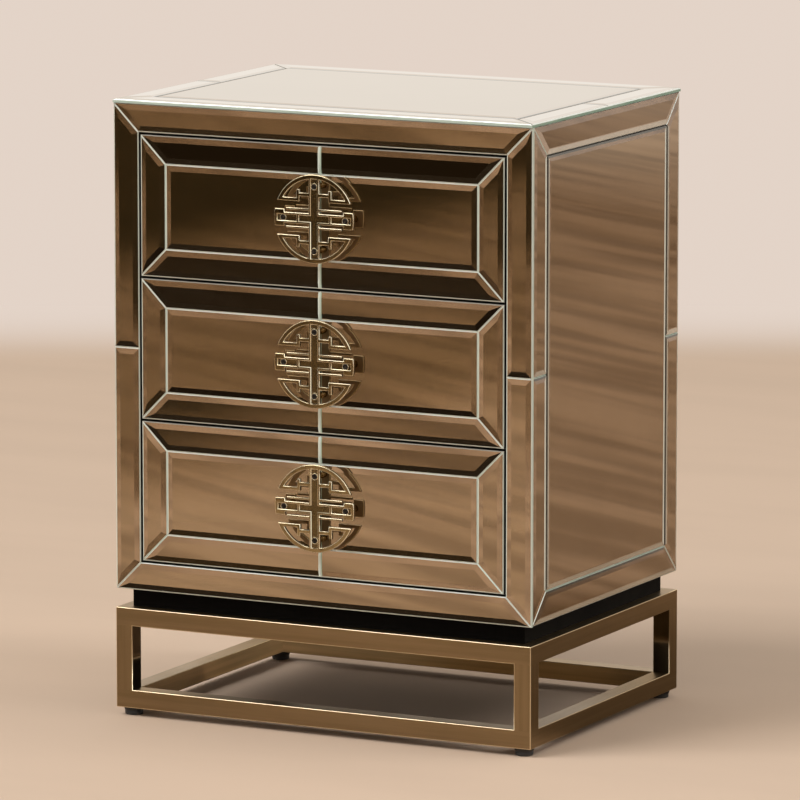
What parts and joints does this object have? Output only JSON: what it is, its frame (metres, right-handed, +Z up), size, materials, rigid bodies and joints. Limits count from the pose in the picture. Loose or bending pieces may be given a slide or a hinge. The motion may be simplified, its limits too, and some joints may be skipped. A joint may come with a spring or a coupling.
{
  "type": "mirrored nightstand",
  "caption": "Bronze-tinted bevelled mirror nightstand with sliding drawers, round fretwork brass pulls and an open gold tube base.",
  "frame": {"origin": "on the floor, under the middle of the object measured with its pulls", "axes": "+Z up, -Y out of the drawer fronts, +X to the right seen from the front"},
  "size_m": [0.5, 0.3816, 0.6745],
  "materials": {
    "bronze_mirror": "bronze-tinted mirror glass with bevelled, polished edges",
    "black_board": "matt black painted board",
    "drawer_wood": "clear lacquered light wood",
    "drawer_base": "thin veneered board",
    "antique_brass": "polished antique brass",
    "gold_tube": "brushed steel tube in satin champagne gold",
    "slide_steel": "zinc plated",
    "dark_screws": "blackened steel",
    "glide_plastic": "black plastic"
  },
  "bodies": {
    "cabinet": {"back_panel": "black_board", "back_panel_screws": "dark_screws", "base_bolts": "dark_screws", "base_bottom_rails": "gold_tube", "base_posts": "gold_tube", "base_tabs": "gold_tube", "base_top_rails": "gold_tube", "bottom_panel": "black_board", "bottom_rail": "black_board", "foot_glides": "glide_plastic", "front_rail_mirrors": "bronze_mirror", "front_stile_mirrors": "bronze_mirror", "left_side_border_mirrors": "bronze_mirror", "left_side_centre_mirror": "bronze_mirror", "left_side_panel": "black_board", "left_stile": "black_board", "plinth": "black_board", "right_side_border_mirrors": "bronze_mirror", "right_side_centre_mirror": "bronze_mirror", "right_side_panel": "black_board", "right_stile": "black_board", "slide_channels": "slide_steel", "slide_packers": "drawer_wood", "top_border_mirrors": "bronze_mirror", "top_centre_mirror": "bronze_mirror", "top_panel": "black_board", "top_rail": "black_board"},
    "lower_drawer": {"lower_drawer_back": "drawer_wood", "lower_drawer_border_mirrors": "bronze_mirror", "lower_drawer_bottom": "drawer_base", "lower_drawer_centre_mirrors": "bronze_mirror", "lower_drawer_front_panel": "black_board", "lower_drawer_left_side": "drawer_wood", "lower_drawer_pull": "antique_brass", "lower_drawer_pull_screws": "dark_screws", "lower_drawer_pull_spacers": "antique_brass", "lower_drawer_right_side": "drawer_wood", "lower_drawer_slide_members": "slide_steel"},
    "middle_drawer": {"middle_drawer_back": "drawer_wood", "middle_drawer_border_mirrors": "bronze_mirror", "middle_drawer_bottom": "drawer_base", "middle_drawer_centre_mirrors": "bronze_mirror", "middle_drawer_front_panel": "black_board", "middle_drawer_left_side": "drawer_wood", "middle_drawer_pull": "antique_brass", "middle_drawer_pull_screws": "dark_screws", "middle_drawer_pull_spacers": "antique_brass", "middle_drawer_right_side": "drawer_wood", "middle_drawer_slide_members": "slide_steel"},
    "upper_drawer": {"upper_drawer_back": "drawer_wood", "upper_drawer_border_mirrors": "bronze_mirror", "upper_drawer_bottom": "drawer_base", "upper_drawer_centre_mirrors": "bronze_mirror", "upper_drawer_front_panel": "black_board", "upper_drawer_left_side": "drawer_wood", "upper_drawer_pull": "antique_brass", "upper_drawer_pull_screws": "dark_screws", "upper_drawer_pull_spacers": "antique_brass", "upper_drawer_right_side": "drawer_wood", "upper_drawer_slide_members": "slide_steel"}
  },
  "joints": [
    {"name": "lower_drawer_slide", "type": "slide", "parent": "cabinet", "child": "lower_drawer", "axis": [0, -1, 0], "range_m": [0, 0.225]},
    {"name": "middle_drawer_slide", "type": "slide", "parent": "cabinet", "child": "middle_drawer", "axis": [0, -1, 0], "range_m": [0, 0.225]},
    {"name": "upper_drawer_slide", "type": "slide", "parent": "cabinet", "child": "upper_drawer", "axis": [0, -1, 0], "range_m": [0, 0.225]}
  ]
}
